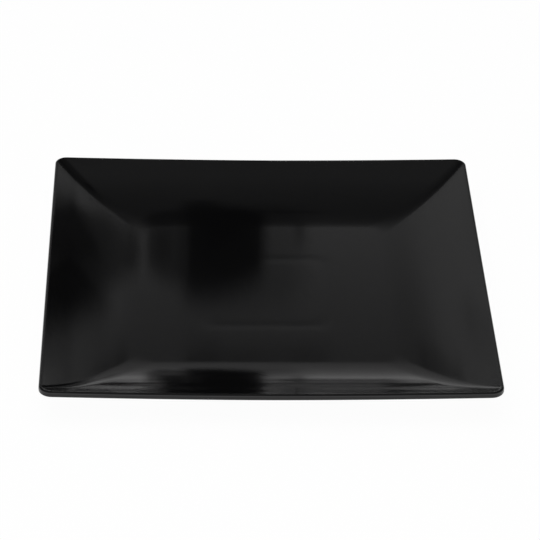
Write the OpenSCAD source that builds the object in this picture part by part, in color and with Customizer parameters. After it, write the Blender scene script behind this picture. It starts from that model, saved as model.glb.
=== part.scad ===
// Square dinner plate pressed from melamine: a body with mitred, sweeping sides and
// a foot, and the clear overglaze that is pressed onto its eating face.
// Millimetres, +Z up, origin at the centre of the plane that the foot stands on.

/* [Plate] */
// Length of a side across the lip, measured at its middle
side = 254; // [225:1:320]
// Height of the lip above the well, at the middle of a side
well_depth = 15.2; // [12:0.2:20]
// How much higher the lip stands at a corner than at the middle of a side
corner_lift = 1.8; // [0:0.1:4]
// How far the lip stands out at the middle of a side, beyond its two corners
side_bow = 0.25; // [0:0.05:2]
// Thickness of the pressed wall, overglaze included
wall_t = 3.6; // [3:0.1:6]

/* [Sides] */
// Slope of the sides below the lip, in degrees
slope_angle = 26; // [20:0.5:30]
// Radius of the sweep from the slope down into the flat well
sweep_r = 100; // [70:2:120]
// Plan radius of the plate's corners
corner_r = 7; // [6:0.5:16]
// Plan radius of the mitre valley where two sides meet
mitre_r = 6; // [2:0.5:9]
// Plan radius of the well's corners, where the mitre has faded out
well_corner_r = 9; // [4:1:30]

/* [Lip] */
// Radius of the lip's upper and lower edge
lip_r = 1.1; // [0.8:0.1:1.4]

/* [Foot] */
// Gap between the edge of the well and the foot's outer face
foot_gap = 3; // [1:0.5:10]
// Width of the foot
foot_w = 4.5; // [3:0.5:8]
// Height of the foot below the underside
foot_h = 2.5; // [1.5:0.1:6]
// Plan radius of the foot's outer corner
foot_corner_r = 16; // [9:1:30]

/* [Centre rib] */
// Length of a side of the square rib under the middle of the well
rib_side = 74; // [50:1:84]
// Width of the rib
rib_w = 3; // [2.5:0.5:6]
// Height of the rib below the underside, a little less than the foot's
rib_h = 1.9; // [0.8:0.1:2.4]
// Plan radius of the rib's outer corner
rib_corner_r = 9; // [5:1:20]

/* [Overglaze] */
// Thickness of the clear overglaze on the eating face
glaze_t = 0.3; // [0.2:0.05:0.6]

/* [Hidden] */
// Radius on the running edges of the foot and the rib
tread_r = 0.8;
// Taper of a foot's wall over its height, which lets it leave the mould
draft = 0.4;

// Steps in a straight side and in a quarter turn of a plan outline
side_steps = 12;
turn_steps = 6;
// Steps in the lip's edge, the slope, the sweep and a tread's edge
lip_steps = 4;
slope_steps = 3;
sweep_steps = 10;
tread_steps = 2;
// How steeply the corner lift rises along a side, and down the sides, as powers
lift_along_power = 1.7;
lift_down_power = 3;

half = side / 2;
// Height of the well's glazed surface above the table
well_z = foot_h + wall_t;
// Height, above the well, of the line round the lip where the two mould halves part
parting_z = well_depth - lip_r;
// Point where the slope leaves the lip's rounded edge, as inset and height above the well
slope_top = [lip_r * (1 + sin(slope_angle)), parting_z + lip_r * cos(slope_angle)];
// Run and rise of the sweep
sweep = sweep_r * [sin(slope_angle), 1 - cos(slope_angle)];
// Length of the straight slope along the plan, and the inset at which the well is flat
slope_w = (slope_top.y - sweep.y) / tan(slope_angle);
well_inset = slope_top.x + slope_w + sweep.x;
// Height of the lower edge's centre, which brings it tangent to the underside of the slope
edge_inset = lip_r * (1 - sin(slope_angle));
edge_z = slope_top.y + (slope_top.x - edge_inset) * tan(slope_angle)
    - wall_t / cos(slope_angle) + lip_r * cos(slope_angle);
foot_inset = well_inset + foot_gap;
rib_inset = half - rib_side / 2;

function reversed(list) = [for (i = [len(list) - 1:-1:0]) list[i]];

// A station is one level of the skin: [inset from the lip, height above the well,
// share of the corner lift, plan radius of the corner].

// Plan corner radius of the sides at an inset: round the lip first, then the mitre
// valley, which opens out towards the well's corner.
function side_corner_r(inset) =
    let (way_in = max(0, min(1, inset / well_inset)))
    max(corner_r - inset, mitre_r + (well_corner_r - mitre_r) * pow(way_in, 2));

// Share of the corner lift at a height: all of it at the lip, none in the well.
function lift_share(height) =
    pow(max(0, min(1, height / slope_top.y)), lift_down_power);

function side_station(inset, height, share) = [inset, height, share, side_corner_r(inset)];

// The sides at a depth below the glazed surface, from the well's edge up to the lip.
// A point's share of the lift is that of the glazed surface above it.
function sides(depth) = concat(
    [for (i = [0:sweep_steps])
        let (a = slope_angle * i / sweep_steps)
        side_station(well_inset - (sweep_r + depth) * sin(a),
                     sweep_r - (sweep_r + depth) * cos(a),
                     lift_share(sweep_r * (1 - cos(a))))],
    [for (i = [1:slope_steps - 1])
        let (p = slope_top + slope_w * (1 - i / slope_steps) * [1, -tan(slope_angle)],
             low = p - depth * [sin(slope_angle), cos(slope_angle)])
        side_station(low.x, low.y, lift_share(p.y))]
);

// The eating face at a depth below the glazed surface, from the well's edge out over
// the lip to the parting line.
function face_stations(depth) =
    let (edge_r = lip_r - depth)
    concat(
        sides(depth),
        [for (i = [0:lip_steps])
            let (a = (90 + slope_angle) * (1 - i / lip_steps))
            side_station(lip_r - edge_r * cos(a), parting_z + edge_r * sin(a), 1)]
    );

// The outside: the shoulder at the parting line, the lip's lower edge, and the
// underside of the sides in to the well's edge.
function outside_stations() = concat(
    [side_station(0, parting_z, 1)],
    [for (i = [0:lip_steps])
        let (a = (90 - slope_angle) * i / lip_steps)
        side_station(lip_r - lip_r * cos(a), edge_z - lip_r * sin(a), 1)],
    reversed(sides(wall_t))
);

// A ring that stands down from the underside, in stations from its outer face in to
// its inner one. Its corners stay concentric.
function tread_stations(inset, width, height, plan_r) =
    let (root_z = -wall_t,
         low_z = root_z - height,
         inner = inset + width)
    concat(
        [[inset - draft, root_z, 0, plan_r + draft]],
        [for (i = [0:tread_steps])
            let (a = 90 * i / tread_steps, in = tread_r * (1 - cos(a)))
            [inset + in, low_z + tread_r * (1 - sin(a)), 0, plan_r - in]],
        [for (i = [tread_steps:-1:0])
            let (a = 90 * i / tread_steps, in = width - tread_r * (1 - cos(a)))
            [inset + in, low_z + tread_r * (1 - sin(a)), 0, plan_r - in]],
        [[inner + draft, root_z, 0, plan_r - width - draft]]
    );

// Plan outline of a square with round corners, counter-clockwise from above.
function outline(half_side, r) =
    let (flat = half_side - r)
    [for (quarter = [0:3])
        let (c = cos(90 * quarter), s = sin(90 * quarter))
        each [for (p = concat(
                [for (i = [0:side_steps - 1]) [half_side, flat * (2 * i / side_steps - 1)]],
                [for (i = [0:turn_steps - 1])
                    let (a = 90 * i / turn_steps)
                    [flat + r * cos(a), flat + r * sin(a)]]))
            [c * p.x - s * p.y, s * p.x + c * p.y]]];

// One ring of the skin: the station's outline, drawn in towards the corners by the
// bow of the sides and raised there by the corner lift.
function ring(station) =
    [for (p = outline(half - station[0], station[3]))
        let (u = p.x / half, v = p.y / half)
        [p.x - side_bow * u * v * v,
         p.y - side_bow * v * u * u,
         well_z + station[1]
             + station[2] * corner_lift * pow(abs(u * v), lift_along_power)]];

// Closed skin through rings that run from the middle of the upper face, over the
// lip, to the middle of the lower face.
module skin_through(stations) {
    count = 4 * (side_steps + turn_steps);
    last = len(stations) - 1;
    polyhedron(
        points = [for (station = stations) each ring(station)],
        faces = concat(
            [[for (i = [count - 1:-1:0]) i]],
            [for (k = [0:last - 1], i = [0:count - 1])
                let (j = (i + 1) % count, a = k * count, b = a + count)
                each [[a + i, a + j, b + i], [a + j, b + j, b + i]]],
            [[for (i = [0:count - 1]) last * count + i]]
        ),
        convexity = 6
    );
}

// The pressed body: the bed of the glaze, the shoulder at the parting line, the
// outside of the lip, the underside, the foot and the centre rib.
module plate_body() {
    color([0.03, 0.03, 0.032])
        skin_through(concat(
            face_stations(glaze_t),
            outside_stations(),
            tread_stations(foot_inset, foot_w, foot_h, foot_corner_r),
            tread_stations(rib_inset, rib_w, rib_h, rib_corner_r)
        ));
}

// The overglaze: an even skin over the whole eating face, from the well over the lip
// to the parting line, where it stops square on the body's shoulder.
module overglaze() {
    color([0.05, 0.05, 0.055])
        skin_through(concat(
            face_stations(0),
            reversed(face_stations(glaze_t))
        ));
}

plate_body();
overglaze();
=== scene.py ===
# %% [markdown]
# # A square dinner plate, pressed from black melamine
#
# This lesson dresses one real object: a dinner plate, 254 mm a side, pressed in a hot
# mould from melamine. The press makes the black body first. Then a clear sheet, the
# overglaze, is laid on the eating face and pressed on as a second charge, which is
# why such a plate is glossier on top than underneath.
#
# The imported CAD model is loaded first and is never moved. It fixes the size and the
# place of everything else, and all lengths here are in metres, as Blender has them.

# %% Load the frame
import math

import bpy
from mathutils import Matrix, Vector


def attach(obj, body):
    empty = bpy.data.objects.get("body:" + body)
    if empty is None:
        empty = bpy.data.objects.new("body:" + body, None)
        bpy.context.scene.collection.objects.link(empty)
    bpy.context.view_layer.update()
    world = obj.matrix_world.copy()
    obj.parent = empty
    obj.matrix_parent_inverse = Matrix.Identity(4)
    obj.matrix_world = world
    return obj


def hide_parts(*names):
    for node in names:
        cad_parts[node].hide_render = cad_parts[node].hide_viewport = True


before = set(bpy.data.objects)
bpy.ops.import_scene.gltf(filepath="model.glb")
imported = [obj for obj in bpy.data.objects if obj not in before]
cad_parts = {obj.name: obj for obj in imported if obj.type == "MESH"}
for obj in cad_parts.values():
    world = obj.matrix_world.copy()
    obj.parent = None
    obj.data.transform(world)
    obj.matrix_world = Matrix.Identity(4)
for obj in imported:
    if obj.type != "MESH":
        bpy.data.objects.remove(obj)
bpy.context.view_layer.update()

# %% [markdown]
# ## The measures of the plate
#
# A reflection shows every flat in a polished surface, and the CAD solids are made of
# flat facets. So the two pieces are built again here as fine meshes, from the same
# measures that the CAD part names. A section through one side is two lines that run
# into each other: a straight slope under the lip, and one long sweep from there into
# the flat well.

# %% Measures, in metres and radians
mm = 0.001
side = 254 * mm
well_depth = 15.2 * mm
corner_lift = 1.8 * mm
side_bow = 0.25 * mm
wall = 3.6 * mm
slope_angle = math.radians(26)
sweep_r = 100 * mm
corner_r = 7 * mm
mitre_r = 6 * mm
well_corner_r = 9 * mm
lip_r = 1.1 * mm
foot_gap, foot_w, foot_h, foot_corner_r = 3 * mm, 4.5 * mm, 2.5 * mm, 16 * mm
rib_side, rib_w, rib_h, rib_corner_r = 74 * mm, 3 * mm, 1.9 * mm, 9 * mm
glaze = 0.3 * mm
tread_r, draft = 0.8 * mm, 0.4 * mm
lift_along_power, lift_down_power = 1.7, 3.0
# steps in the sweep, the slope and the lip's upper edge, at the coarsest
sweep_steps, slope_steps, lip_steps = 24, 6, 7
# steps in the flat of the well, in the lip's lower edge and in a tread's edge
well_steps, under_lip_steps, tread_steps = 84, 8, 4

half = side / 2
well_z = foot_h + wall
parting_z = well_depth - lip_r
rib_inset = half - rib_side / 2
print("height at a corner, mm:", round((well_z + well_depth + corner_lift) / mm, 1))

# %% [markdown]
# ## One side in section
#
# A station is a point of that section: how far in from the lip it lies, how high above
# the well, how much of the corner lift it takes, and how round the plan's corners are
# there. Working with stations keeps the maths in two dimensions, where it is easy to
# check, and leaves the third to one short function.

# %% Where the slope meets the sweep, and the sweep the well
slope_top = (lip_r * (1 + math.sin(slope_angle)), parting_z + lip_r * math.cos(slope_angle))
sweep = (sweep_r * math.sin(slope_angle), sweep_r * (1 - math.cos(slope_angle)))
slope_w = (slope_top[1] - sweep[1]) / math.tan(slope_angle)
well_inset = slope_top[0] + slope_w + sweep[0]
edge_inset = lip_r * (1 - math.sin(slope_angle))
edge_z = (slope_top[1] + (slope_top[0] - edge_inset) * math.tan(slope_angle)
          - wall / math.cos(slope_angle) + lip_r * math.cos(slope_angle))
foot_inset = well_inset + foot_gap
print("the well is flat from", round(well_inset / mm, 1), "mm inside the lip")


# %% Stations of the sides
# the roundest corner that a ring may have, as a share of half its side
roundest = 0.8


def side_corner_r(inset):
    """Plan radius of the corners: round at the lip, a tight mitre valley below it."""
    way_in = max(0, min(1, inset / well_inset))
    valley = mitre_r + (well_corner_r - mitre_r) * way_in ** 2
    return max(corner_r - inset, min(valley, roundest * (half - inset)))


def lift_share(height):
    """Share of the corner lift at a height: all of it at the lip, none in the well."""
    return max(0, min(1, height / slope_top[1])) ** lift_down_power


def side_station(inset, height, share):
    return (inset, height, share, side_corner_r(inset))


def sweep_station(angle, depth):
    """A point on the sweep, at a depth below the glazed surface."""
    inset = well_inset - (sweep_r + depth) * math.sin(angle)
    height = sweep_r - (sweep_r + depth) * math.cos(angle)
    return side_station(inset, height, lift_share(sweep_r * (1 - math.cos(angle))))


def sides(depth, fine=1):
    """The sides from the well's edge up to the lip, with fine times as many steps."""
    steps = sweep_steps * fine
    stations = [sweep_station(slope_angle * i / steps, depth) for i in range(steps + 1)]
    steps = slope_steps * fine
    for i in range(1, steps):
        below = slope_w * (1 - i / steps)
        inset = slope_top[0] + below
        height = slope_top[1] - below * math.tan(slope_angle)
        stations.append(side_station(inset - depth * math.sin(slope_angle),
                                     height - depth * math.cos(slope_angle), lift_share(height)))
    return stations


print("stations up one side:", len(sides(0, 2)))

# %% [markdown]
# ## The well, and the faint square in it
#
# Melamine shrinks as it cures. Over a thick place, such as the square rib under the
# well, it shrinks a little more, and the face above sinks by a few hundredths of a
# millimetre. Nobody feels it, but a polished face shows it as a faint square in the
# reflections. It is modelled as a real dip in the mesh, since it is a shape.

# %% Stations of the well and of the lip
sink_depth = 0.045 * mm
sink_w = 4 * mm
# half the side of the flat square that closes the middle of the face
middle_half = 3 * mm


def well_dip(inset):
    """How far the face sinks over the rib's middle line."""
    off = (inset - rib_inset - rib_w / 2) / sink_w
    return sink_depth * math.exp(-off * off)


def well_stations(depth):
    """The well from its middle out to where the sweep begins."""
    innermost = half - middle_half
    stations = []
    for i in range(well_steps):
        inset = innermost - (innermost - well_inset) * i / well_steps
        stations.append(side_station(inset, -depth - well_dip(inset), 0))
    return stations


def face_stations(depth, fine=1):
    """The eating face, from the middle of the well over the lip to the parting line."""
    edge_r = lip_r - depth
    stations = well_stations(depth) + sides(depth, fine)
    steps = lip_steps * fine
    for i in range(steps + 1):
        a = (math.pi / 2 + slope_angle) * (1 - i / steps)
        stations.append(side_station(lip_r - edge_r * math.cos(a),
                                     parting_z + edge_r * math.sin(a), 1))
    return stations


print("stations of the face:", len(face_stations(0, 2)))

# %% [markdown]
# ## The outside, the foot and the rib
#
# Under the lip the plate is the bare pressed body. It stands on a square foot, which
# lifts the well off the table and lets plates stack, and a lower rib inside the foot
# stiffens the well. Both taper a little, or they would stick in the mould.

# %% Stations of the outside
def outside_stations():
    """From the shoulder at the parting line, under the lip and in to the well's edge."""
    stations = [side_station(0, parting_z, 1)]
    for i in range(under_lip_steps + 1):
        a = (math.pi / 2 - slope_angle) * i / under_lip_steps
        stations.append(side_station(lip_r - lip_r * math.cos(a),
                                     edge_z - lip_r * math.sin(a), 1))
    return stations + sides(wall)[::-1]


def tread_stations(inset, width, height, plan_r):
    """A ring that stands down from the underside, from its outer face to its inner one."""
    low = -wall - height
    stations = [(inset - draft, -wall, 0, plan_r + draft)]
    for i in range(tread_steps + 1):
        a = math.pi / 2 * i / tread_steps
        step = tread_r * (1 - math.cos(a))
        stations.append((inset + step, low + tread_r * (1 - math.sin(a)), 0, plan_r - step))
    for i in range(tread_steps, -1, -1):
        a = math.pi / 2 * i / tread_steps
        step = width - tread_r * (1 - math.cos(a))
        stations.append((inset + step, low + tread_r * (1 - math.sin(a)), 0, plan_r - step))
    stations.append((inset + width + draft, -wall, 0, plan_r - width - draft))
    return stations


print("stations of the foot:", len(tread_stations(foot_inset, foot_w, foot_h, foot_corner_r)))

# %% [markdown]
# ## From stations to a mesh
#
# Each station becomes a ring: a square with round corners, bowed a little between its
# corners and lifted at them, as the mould is cut. Rings side by side make a skin of
# four-sided faces, and a face at each end closes it. The faces are shaded smooth, and
# only edges that turn by more than 35 degrees stay sharp.

# %% One ring
side_points = 40
turn_points = 14


def ring(station):
    """Points of one ring, counter-clockwise from above."""
    inset, height, share, r = station
    flat = half - inset - r
    corner = [(half - inset, flat * (2 * i / side_points - 1)) for i in range(side_points)]
    for i in range(turn_points):
        a = math.pi / 2 * i / turn_points
        corner.append((flat + r * math.cos(a), flat + r * math.sin(a)))
    points = []
    for c, s in ((1, 0), (0, 1), (-1, 0), (0, -1)):
        for px, py in corner:
            x, y = c * px - s * py, s * px + c * py
            u, v = x / half, y / half
            lift = share * corner_lift * abs(u * v) ** lift_along_power
            points.append((x - side_bow * u * v * v, y - side_bow * v * u * u,
                           well_z + height + lift))
    return points


print("points in the ring at the parting line:", len(ring(side_station(0, parting_z, 1))))


# %% The skin of one piece
sharp_from = math.radians(35)


def skin(name, stations):
    """A closed mesh through the rings of the stations, first and last one capped."""
    count = 4 * (side_points + turn_points)
    points = [p for station in stations for p in ring(station)]
    last = len(stations) - 1
    faces = [tuple(range(count))]
    for k in range(last):
        for i in range(count):
            j = (i + 1) % count
            faces.append((k * count + i, (k + 1) * count + i, (k + 1) * count + j, k * count + j))
    faces.append(tuple(last * count + i for i in range(count - 1, -1, -1)))
    mesh = bpy.data.meshes.new(name)
    mesh.from_pydata(points, [], faces)
    mesh.validate()
    mesh.shade_smooth()
    mesh.set_sharp_from_angle(angle=sharp_from)
    piece = bpy.data.objects.new(name, mesh)
    bpy.context.collection.objects.link(piece)
    print(name, "has", len(mesh.polygons), "faces")
    return piece


print("edges stay sharp from", round(math.degrees(sharp_from)), "degrees")

# %% The pressed body
body = skin("pressed_body", face_stations(glaze) + outside_stations()
            + tread_stations(foot_inset, foot_w, foot_h, foot_corner_r)
            + tread_stations(rib_inset, rib_w, rib_h, rib_corner_r))
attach(body, "root")
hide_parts("plate_body")

# %% The overglaze
overglaze = skin("clear_overglaze", face_stations(0, 2) + face_stations(glaze, 2)[::-1])
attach(overglaze, "root")
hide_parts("overglaze")

# %% [markdown]
# ## Shader maths that reads like maths
#
# A material is a tree of nodes, and the maths in it is easier to read as a formula. A
# Wire stands for one socket. Adding or multiplying wires adds the Math nodes, and
# colours and vectors go through Mix and Vector Math instead, because a Math node
# would turn a colour grey.


# %% Wire: a socket that can be added, multiplied and so on
class Wire:
    operations = {"+": "ADD", "-": "SUBTRACT", "*": "MULTIPLY", "/": "DIVIDE", "**": "POWER"}

    def __init__(self, bench, socket):
        self.bench, self.socket = bench, socket

    def out(self, name):
        """Another output of the same node."""
        return Wire(self.bench, self.socket.node.outputs[name])

    def join(self, sign, other, swapped=False):
        first, second = (other, self) if swapped else (self, other)
        kinds = [wire.socket.type for wire in (first, second) if isinstance(wire, Wire)]
        operation = self.operations[sign]
        if "VECTOR" in kinds:
            return self.bench.add("ShaderNodeVectorMath", {"operation": operation},
                                  {0: first, 1: second})
        if "RGBA" in kinds:
            return self.bench.add("ShaderNodeMix", {"data_type": "RGBA", "blend_type": operation},
                                  {0: 1.0, 6: first, 7: second}, output=2)
        return self.bench.add("ShaderNodeMath", {"operation": operation}, {0: first, 1: second})

    def __add__(self, other): return self.join("+", other)
    def __radd__(self, other): return self.join("+", other, True)
    def __sub__(self, other): return self.join("-", other)
    def __rsub__(self, other): return self.join("-", other, True)
    def __mul__(self, other): return self.join("*", other)
    def __rmul__(self, other): return self.join("*", other, True)
    def __truediv__(self, other): return self.join("/", other)
    def __rtruediv__(self, other): return self.join("/", other, True)
    def __pow__(self, other): return self.join("**", other)

    def call(self, operation, *others):
        """Any other Math operation on this value."""
        return self.bench.add("ShaderNodeMath", {"operation": operation},
                              dict(enumerate((self,) + others)))

    def ease(self, low, high):
        """0 below low, 1 above high, and a smooth step between them."""
        return self.bench.add("ShaderNodeMapRange", {"interpolation_type": "SMOOTHSTEP"},
                              {0: self, 1: low, 2: high, 3: 0.0, 4: 1.0})

    def bump(self, low, high, blur):
        """1 between low and high, fading to 0 over blur on both sides."""
        return self.ease(low - blur, low + blur) * (1 - self.ease(high - blur, high + blur))


print("wires can be joined by", " ".join(Wire.operations))


# %% Bench: where nodes are made
class Bench:
    def __init__(self, tree):
        self.tree = tree
        tree.nodes.clear()

    def add(self, kind, settings=None, sockets=None, output=0):
        """A node of that type: its settings first, then the values or links of its sockets."""
        node = self.tree.nodes.new(kind)
        for name, value in (settings or {}).items():
            if name == "stops":
                self.set_stops(node.color_ramp, value)
            else:
                setattr(node, name, value)
        for key, value in (sockets or {}).items():
            if isinstance(value, Wire):
                self.tree.links.new(value.socket, node.inputs[key])
            else:
                node.inputs[key].default_value = value
        return Wire(self, node.outputs[output]) if node.outputs else node

    def set_stops(self, ramp, stops):
        """Grey stops, as (place, tone) pairs."""
        ramp.interpolation = "B_SPLINE"
        while len(ramp.elements) < len(stops):
            ramp.elements.new(1.0)
        for element, (place, tone) in zip(ramp.elements, stops):
            element.position = place
            element.color = (tone, tone, tone, 1)


def new_material(name):
    material = bpy.data.materials.new(name)
    material.use_nodes = True
    return material, Bench(material.node_tree)


def dress(piece, material):
    piece.data.materials.clear()
    piece.data.materials.append(material)


print("the bench is ready")

# %% [markdown]
# ## The overglaze
#
# The clear sheet and the black under it read as one deep black with a hard polish.
# Such a surface is almost all reflection: the black itself gives back a few
# thousandths of the light. What tells it from glass is small. The polish is a touch
# soft, it waves by less than a thousandth of a millimetre as the mould steel does, and
# cutlery and washing have left fine hairlines that only blur the reflection.

# %% Overglaze: marks of use
glaze_material, bench = new_material("clear glaze over black")
place = bench.add("ShaderNodeTexCoord", output=3)


def hairlines(bench, place, turned, fineness, length=60, thinness=55):
    """Thin scratches along one direction: where a noise, drawn out lengthwise, is middling."""
    stretch = (fineness, fineness / length, 1.0)
    drawn = bench.add("ShaderNodeMapping", sockets={0: place, 2: (0, 0, turned), 3: stretch})
    noise = bench.add("ShaderNodeTexNoise", sockets={0: drawn, 2: 1.0, 3: 1.0, 4: 0.5})
    ridge = 1 - (noise - 0.5).call("ABSOLUTE") * thinness
    return ridge.call("MAXIMUM", 0.0)


lines = hairlines(bench, place, 0.4, 900) + hairlines(bench, place, 1.9, 760) * 0.7
patches = bench.add("ShaderNodeTexNoise", sockets={0: place, 2: 26.0, 3: 3.0, 4: 0.55})
worn = patches.ease(0.45, 0.7)
print("nodes for the marks of use:", len(glaze_material.node_tree.nodes))

# %% Overglaze: colour, polish and wave
wave_depth = 0.0006 * mm
wave = bench.add("ShaderNodeTexNoise", sockets={0: place, 2: 170.0, 3: 2.0, 4: 0.45})
height = wave - lines * worn * 0.15
relief = bench.add("ShaderNodeBump", sockets={0: 0.6, 1: wave_depth, 3: height})
polish = 0.09 + worn * 0.012 + lines * worn * 0.05
deepest, palest = (0.0021, 0.0021, 0.0023, 1), (0.0031, 0.0031, 0.0033, 1)
depth_tone = bench.add("ShaderNodeMix", {"data_type": "RGBA"},
                       {0: patches, 6: deepest, 7: palest}, output=2)
shader = bench.add("ShaderNodeBsdfPrincipled", sockets={
    "Base Color": depth_tone, "Roughness": polish, "IOR": 1.6, "Normal": relief})
bench.add("ShaderNodeOutputMaterial", sockets={0: shader})
dress(overglaze, glaze_material)
print("overglaze nodes:", len(glaze_material.node_tree.nodes))

# %% [markdown]
# ## The bare melamine
#
# Under the lip there is no glaze. The mould steel there is only blasted, so the same
# black comes out satin, with a fine tooth and the slow mottle of the flowing powder.
# The foot's tread has slid over tables, which turns it greyer and dull.

# %% Melamine
tooth_depth = 0.008 * mm
rubbed_below, untouched_above = 0.2 * mm, 0.9 * mm
melamine_material, bench = new_material("pressed black melamine")
place = bench.add("ShaderNodeTexCoord", output=3)
height_above_table = bench.add("ShaderNodeSeparateXYZ", sockets={0: place}, output=2)
mottle = bench.add("ShaderNodeTexNoise", sockets={0: place, 2: 60.0, 3: 3.0, 4: 0.5})
tooth = bench.add("ShaderNodeTexNoise", sockets={0: place, 2: 2600.0, 3: 2.0, 4: 0.5})
scuffs = bench.add("ShaderNodeTexNoise", sockets={0: place, 2: 480.0, 3: 4.0, 4: 0.6})
low_down = 1 - height_above_table.ease(rubbed_below, untouched_above)
tread = low_down * scuffs.ease(0.3, 0.6)
relief = bench.add("ShaderNodeBump", sockets={
    0: 0.7, 1: tooth_depth, 3: tooth + mottle * 0.5})
satin = 0.24 + mottle * 0.1 + tread * 0.25
unworn, rubbed = (0.0032, 0.0032, 0.0034, 1), (0.02, 0.02, 0.02, 1)
tone = bench.add("ShaderNodeMix", {"data_type": "RGBA"}, {0: tread, 6: unworn, 7: rubbed}, output=2)
shader = bench.add("ShaderNodeBsdfPrincipled", sockets={
    "Base Color": tone, "Roughness": satin, "IOR": 1.5, "Specular IOR Level": 0.36,
    "Normal": relief})
bench.add("ShaderNodeOutputMaterial", sockets={0: shader})
dress(body, melamine_material)
print("melamine nodes:", len(melamine_material.node_tree.nodes))

# %% [markdown]
# ## The floor
#
# The floor is a plain pale sheet. To the camera, and to anything that mirrors it or
# shows through it, it is nearly all plain white of strength 1. The rest is an
# ordinary pale surface under the lamp, which keeps the plate's soft shadow.

# %% A flat sheet
def flat_sheet(name, corners):
    """A sheet without thickness, through four corners."""
    mesh = bpy.data.meshes.new(name)
    mesh.from_pydata(corners, [], [(0, 1, 2, 3)])
    sheet = bpy.data.objects.new(name, mesh)
    bpy.context.collection.objects.link(sheet)
    print(name, "laid, m across:", round(sheet.dimensions.x, 3))
    return sheet


# %% Floor
reach = 12.0
plain_share = 0.97
floor = flat_sheet("floor", [(-reach, -reach, 0), (reach, -reach, 0), (reach, reach, 0),
                             (-reach, reach, 0)])

floor_material, bench = new_material("pale floor")
sight = bench.add("ShaderNodeLightPath")
through = sight.out("Is Transmission Ray")
seen = (sight.out("Is Camera Ray") + sight.out("Is Glossy Ray") + through).call("MINIMUM", 1.0)
matt = bench.add("ShaderNodeBsdfDiffuse", sockets={0: (0.86, 0.86, 0.86, 1)})
white = bench.add("ShaderNodeEmission", sockets={0: (1, 1, 1, 1), 1: 1.0})
mixed = bench.add("ShaderNodeMixShader", sockets={0: seen * plain_share, 1: matt, 2: white})
bench.add("ShaderNodeOutputMaterial", sockets={0: mixed})
dress(floor, floor_material)
print("floor nodes:", len(floor_material.node_tree.nodes))

# %% [markdown]
# ## The studio that the plate mirrors
#
# A black polished plate has no looks of its own: what one sees is the room. Here the
# room is a world whose brightness depends on direction. Behind the plate a low pale
# backdrop ends about 34 degrees up and falls off to both sides, the ceiling is dim,
# and the side behind the camera is even.

# %% World: directions
world = bpy.data.worlds.new("studio")
bpy.context.scene.world = world
world.use_nodes = True
bench = Bench(world.node_tree)
direction = bench.add("ShaderNodeTexCoord", output=0)
along = bench.add("ShaderNodeSeparateXYZ", sockets={0: direction})
east, north, up = along.out("X"), along.out("Y"), along.out("Z")
elevation = up.call("ARCSINE") * (180 / math.pi)
overhead = 90


def tones_by_height(tones):
    """Grey that changes with the height, from pairs of degrees above the horizon and tone."""
    stops = [(degrees / overhead, tone) for degrees, tone in tones]
    return bench.add("ShaderNodeValToRGB", {"stops": stops}, {0: elevation / overhead})


print("nodes for the directions:", len(world.node_tree.nodes))

# %% World: its tones
backdrop = tones_by_height((
    (0, 0.42), (4, 0.40), (7.5, 0.36), (9.5, 0.56), (12, 0.73), (15, 0.53), (20, 0.40), (25, 0.32),
    (29, 0.28), (31.5, 0.26), (33, 0.16), (34.5, 0.13), (38, 0.07), (46, 0.05), (60, 0.07),
    (75, 0.105), (90, 0.155)))
room = tones_by_height(((0, 0.45), (27, 0.3), (54, 0.16), (90, 0.13)))
# 0 behind the plate, 1 behind the camera
front = (north * -1).ease(-0.3, 0.5)
# how the backdrop falls off to both sides
to_the_east = (1 - east.ease(0.1, 0.24) * 0.37) * (1 - east.ease(0.35, 0.42) * 0.25)
to_the_west = 1 - (east * -1).ease(0.2, 0.5) * 0.3
lit = backdrop * to_the_east * to_the_west
studio = bench.add("ShaderNodeMix", {"data_type": "RGBA"}, {0: front, 6: lit, 7: room}, output=2)
sky = bench.add("ShaderNodeBackground", sockets={0: studio, 1: 1.0})
bench.add("ShaderNodeOutputWorld", sockets={0: sky})
print("world nodes:", len(world.node_tree.nodes))

# %% [markdown]
# ## Cloths behind the plate
#
# Photographers hang dark cloths, called flags, near a glossy object to keep parts of
# it dark. Three sheets of them stand behind this plate, 17 to 30 cm from its middle.
# Only mirror rays see them, so they neither show in the picture nor shade the floor. A
# cloth has a crown that falls away in a curve from its highest point, and soft edges,
# because it hangs well out of focus. All its measures are in millimetres.

# %% One cloth
crown_step = 20
to_mm = 1 / mm


def cloth(across, upwards, left, right, side_blur, top, top_blur, middle=0, drop=0, bottom=0,
          density=1.0):
    """How much light the cloth takes. Its crown falls by drop one crown_step off its middle."""
    off_middle = (across - middle) / crown_step
    crown = top - off_middle ** 2 * drop
    held = across.bump(left, right, side_blur) * (1 - (upwards - crown).ease(-top_blur, top_blur))
    if bottom:
        held = held * upwards.ease(bottom - top_blur, bottom + top_blur)
    return held * density


print("a cloth's crown falls away by its drop", crown_step, "mm off its middle")


# %% A sheet of cloths
hem = 2 * mm
# half width and height of a sheet, and how much they grow with its distance
narrowest, lowest = 100 * mm, 200 * mm
widening, rising = 0.2, 0.9


def only_in_mirrors(sheet):
    """Mirror rays see the sheet and no others do, so it shades nothing."""
    sheet.visible_camera = sheet.visible_diffuse = sheet.visible_shadow = False
    sheet.visible_transmission = sheet.visible_volume_scatter = False


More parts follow.
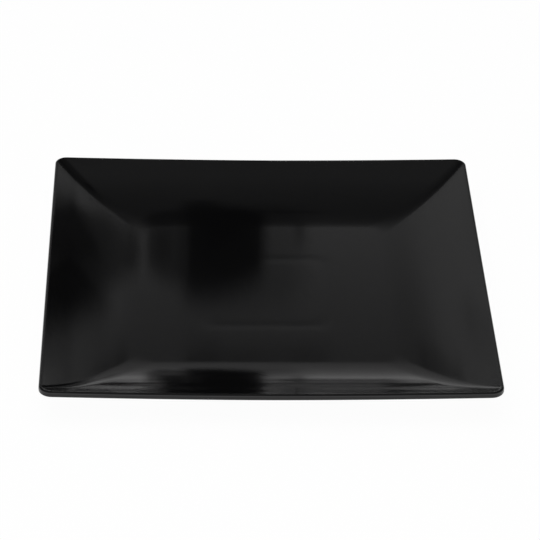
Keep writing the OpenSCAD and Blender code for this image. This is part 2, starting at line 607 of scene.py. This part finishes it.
def hang_sheet(name, distance, cloths):
    """A sheet across the back at that distance, clear where no cloth hangs."""
    y = distance * mm
    wide, high = narrowest + widening * y, lowest + rising * y
    sheet = flat_sheet(name, [(-wide, y, hem), (wide, y, hem), (wide, y, high), (-wide, y, high)])
    only_in_mirrors(sheet)
    material, bench = new_material(name)
    place = bench.add("ShaderNodeTexCoord", output=3)
    sideways = bench.add("ShaderNodeSeparateXYZ", sockets={0: place})
    across, upwards = sideways * to_mm, sideways.out("Z") * to_mm
    open_share = 1.0
    for measures in cloths:
        open_share = (1 - cloth(across, upwards, **measures)) * open_share
    black = bench.add("ShaderNodeEmission", sockets={0: (0, 0, 0, 1), 1: 0.0})
    clear = bench.add("ShaderNodeBsdfTransparent", sockets={0: (1, 1, 1, 1)})
    mixed = bench.add("ShaderNodeMixShader", sockets={0: open_share, 1: black, 2: clear})
    bench.add("ShaderNodeOutputMaterial", sockets={0: mixed})
    dress(sheet, material)
    print(name, "stands", distance, "mm off, with cloths:", len(cloths))


print("the sheets end, mm above the floor:", round(hem / mm, 1))


# %% Sheets, from the nearest to the farthest
hang_sheet("near cloths", 172, [
    dict(left=-47.5, right=5.6, side_blur=6, top=122, top_blur=17, middle=-38, drop=3.5, density=0.955),
    dict(left=-71.5, right=-46, side_blur=4, top=111, top_blur=12, middle=-52, drop=14, density=0.68),
    dict(left=-44, right=30, side_blur=14, top=130, top_blur=20, middle=-10, drop=2, density=0.36),
    dict(left=24.5, right=31.5, side_blur=3.5, top=80, top_blur=12, density=0.41)])
hang_sheet("second cloth", 260, [
    dict(left=-34, right=-1, side_blur=6, top=140, top_blur=17, middle=-29, drop=8, density=0.75)])
hang_sheet("high cloths", 300, [
    dict(left=-45, right=-20, side_blur=6, top=380, top_blur=28, bottom=251, density=0.69),
    dict(left=-20, right=58, side_blur=10, top=270, top_blur=7, bottom=248, density=0.4),
    dict(left=-64, right=-43, side_blur=6, top=116, top_blur=14, density=0.85),
    dict(left=-67, right=-56, side_blur=4, top=176, top_blur=10, bottom=147, density=0.42),
    dict(left=17, right=106, side_blur=12, top=82, top_blur=11, density=0.64)])

# %% [markdown]
# ## A white card behind the far lip
#
# The slope nearest to the camera mirrors the slope opposite, and would show it as hard
# dark lines. A white card lightens them. It lies flat, 3 cm above the floor and right
# behind the plate, where only the slopes' images of each other find it, and it leaves
# a gap where the dark cloths hang.

# %% The card
card_z, card_near, card_far, card_half = 30 * mm, 127.5 * mm, 138 * mm, 92 * mm
# where its two parts begin and end, and how soft their ends are, in millimetres
west_part, east_part, part_blur = (-82, -60), (6, 82), 6
card = flat_sheet("white card", [(-card_half, card_near, card_z), (card_half, card_near, card_z),
                                 (card_half, card_far, card_z), (-card_half, card_far, card_z)])
only_in_mirrors(card)
card_material, bench = new_material("white card")
place = bench.add("ShaderNodeTexCoord", output=3)
across = bench.add("ShaderNodeSeparateXYZ", sockets={0: place}) * to_mm
held = across.bump(*west_part, part_blur) + across.bump(*east_part, part_blur)
white = bench.add("ShaderNodeEmission", sockets={0: (0.9, 0.9, 0.9, 1), 1: 1.0})
clear = bench.add("ShaderNodeBsdfTransparent", sockets={0: (1, 1, 1, 1)})
mixed = bench.add("ShaderNodeMixShader", sockets={0: held, 1: clear, 2: white})
bench.add("ShaderNodeOutputMaterial", sockets={0: mixed})
dress(card, card_material)
print("card nodes:", len(card_material.node_tree.nodes))

# %% [markdown]
# ## The lamp
#
# One large soft lamp hangs over the plate. It brings the light on a flat surface to
# the level at which a colour renders as it is written. The photographed plate mirrors
# no lamp, so this one is hidden from mirror rays.

# %% Lamp
lamp_data = bpy.data.lights.new("soft lamp", "AREA")
lamp_data.shape = "SQUARE"
lamp_data.size = 2.2
lamp_data.energy = 50
lamp = bpy.data.objects.new("soft lamp", lamp_data)
lamp.location = (-0.3, -0.4, 2.2)
lamp.rotation_euler = (Vector((0, 0, 0)) - lamp.location).to_track_quat("-Z", "Y").to_euler()
lamp.visible_glossy = False
lamp.visible_camera = False
bpy.context.collection.objects.link(lamp)
print("lamp of", lamp_data.energy, "W")

# %% [markdown]
# ## The camera
#
# The photograph was taken from about 1.6 m with a long lens, 32 degrees above the
# table and turned a little. Those four facts, a slight roll and the point aimed at
# give the whole camera.

# %% Camera
rise, turn, roll = math.radians(32.43), math.radians(2.374), math.radians(-1.487)
camera_distance = 1.5949
aim_east, aim_north, aim_below_corners = 2.18 * mm, -1.16 * mm, 1.3 * mm
aim = Vector((aim_east, aim_north, well_z + well_depth + corner_lift - aim_below_corners))
forward = Vector((math.sin(turn) * math.cos(rise), math.cos(turn) * math.cos(rise), -math.sin(rise)))
across = Vector((math.cos(turn), -math.sin(turn), 0))
upward = across.cross(forward)
right = across * math.cos(roll) - upward * math.sin(roll)
top = across * math.sin(roll) + upward * math.cos(roll)
camera_data = bpy.data.cameras.new("camera")
camera_data.lens = 183.2
camera_data.sensor_width = 36
camera_data.clip_end = 40
camera = bpy.data.objects.new("camera", camera_data)
bpy.context.collection.objects.link(camera)
axes = Matrix((right, top, -forward)).transposed()
camera.matrix_world = Matrix.Translation(aim - forward * camera_distance) @ axes.to_4x4()
bpy.context.scene.camera = camera
bpy.context.scene.view_settings.view_transform = "Standard"
print("camera at", [round(v, 3) for v in camera.location])
